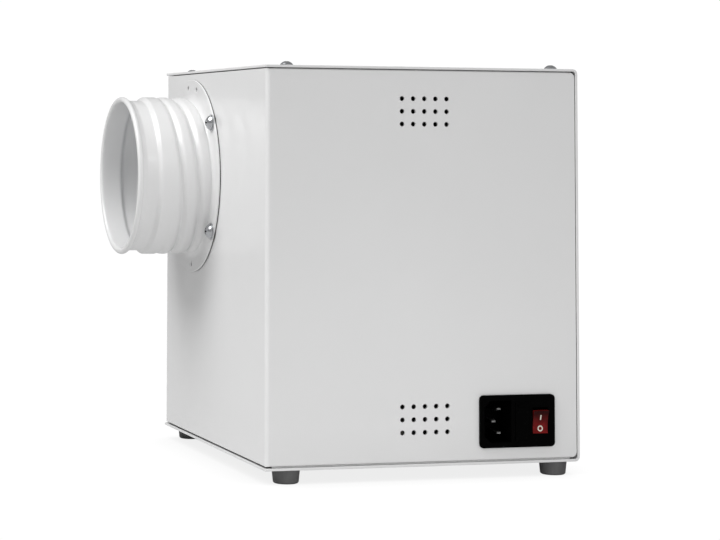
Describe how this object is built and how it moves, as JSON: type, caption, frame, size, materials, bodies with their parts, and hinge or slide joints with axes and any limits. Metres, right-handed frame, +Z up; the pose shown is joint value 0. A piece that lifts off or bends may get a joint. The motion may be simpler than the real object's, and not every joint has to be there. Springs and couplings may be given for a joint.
{
  "type": "solder fume extractor",
  "caption": "Sheet-metal fume extractor with a ribbed hose collar, inner filters and blower, a mains inlet with rocker switch, vent holes and rubber feet.",
  "frame": {"origin": "centre of the footprint of the whole unit's bounding box, collar included, on the bench plane", "axes": "+X to the right when the front panel is faced, the front panel with the mains inlet faces -Y, the hose collar points to -X, +Z up"},
  "size_m": [0.2444, 0.2141, 0.2424],
  "materials": {
    "casing_paint": "fine powder coat, pale grey white",
    "collar_paint": "glossy white paint",
    "gasket_rubber": "matt grey",
    "seal_foam": "closed-cell foam",
    "zinc_steel": "bright zinc plated",
    "foot_rubber": "matt dark grey",
    "black_plastic": "satin black",
    "plated_contact": "nickel plated",
    "red_plastic": "translucent red, smooth",
    "fuse_metal": "plated caps",
    "scroll_plastic": "moulded, dark grey",
    "wheel_plastic": "moulded, black",
    "motor_metal": "die cast",
    "lamination": "stacked sheet",
    "copper_wire": "enamelled copper",
    "turned_steel": "ground",
    "galvanised_sheet": "galvanised",
    "tub_paint": "satin grey",
    "fleece": "loose fibre mat",
    "frame_board": "pressed board",
    "filter_paper": "pleated glass paper",
    "cassette_plastic": "moulded grid",
    "carbon_grains": "loose grains",
    "ivory_plastic": "moulded",
    "brown_sleeve": "soft sleeve",
    "blue_sleeve": "soft sleeve",
    "green_sleeve": "soft sleeve",
    "cable_sleeve": "soft sleeve"
  },
  "bodies": {
    "casing": {"front_left_shell": "casing_paint", "outer_cover": "casing_paint", "duct_collar": "collar_paint", "collar_gasket": "gasket_rubber", "collar_screws": "zinc_steel", "collar_washers": "zinc_steel", "collar_nuts": "zinc_steel", "cover_screws": "zinc_steel", "cover_nuts": "zinc_steel", "feet": "foot_rubber", "foot_screws": "zinc_steel", "foot_nuts": "zinc_steel", "inlet_housing": "black_plastic", "inlet_pins": "plated_contact", "switch_tabs": "plated_contact", "fan_scroll": "scroll_plastic", "scroll_screws": "zinc_steel", "scroll_nuts": "zinc_steel", "inlet_ring": "scroll_plastic", "motor_can": "motor_metal", "stator_core": "lamination", "motor_windings": "copper_wire", "motor_bearings": "turned_steel", "motor_studs": "zinc_steel", "motor_bushings": "gasket_rubber", "motor_nuts": "zinc_steel", "inner_chassis": "galvanised_sheet", "filter_shelf": "galvanised_sheet", "chassis_screws": "zinc_steel", "chassis_nuts": "zinc_steel", "filter_tub": "tub_paint", "plenum_seal": "seal_foam", "pre_filter": "fleece", "hepa_frame": "frame_board", "hepa_pleats": "filter_paper", "carbon_cassette": "cassette_plastic", "carbon_bed": "carbon_grains", "blower_seal": "seal_foam", "outlet_seal": "seal_foam", "run_capacitor": "motor_metal", "capacitor_clamp": "zinc_steel", "terminal_block": "ivory_plastic", "live_lead": "brown_sleeve", "neutral_lead": "blue_sleeve", "earth_lead": "green_sleeve", "motor_cable": "cable_sleeve", "capacitor_lead": "cable_sleeve", "earth_stud": "zinc_steel", "earth_nut": "zinc_steel"},
    "rocker_body": {"rocker": "red_plastic"},
    "fuse_carrier": {"fuse_drawer": "black_plastic", "fuse_link": "fuse_metal"},
    "fan_wheel": {"impeller": "wheel_plastic", "motor_shaft": "turned_steel", "rotor_core": "lamination"}
  },
  "joints": [
    {"name": "rocker_tilt", "type": "hinge", "parent": "casing", "child": "rocker_body", "pos_m": [0.09625, -0.10164, 0.03275], "axis": [-1, 0, 0], "range_deg": [0, 20]},
    {"name": "fuse_drawer_slide", "type": "slide", "parent": "casing", "child": "fuse_carrier", "axis": [0, -1, 0], "range_m": [0, 0.016]},
    {"name": "fan_spin", "type": "hinge", "parent": "casing", "child": "fan_wheel", "pos_m": [0.04225, 0.02166, 0.15], "axis": [1, 0, 0], "continuous": true}
  ]
}
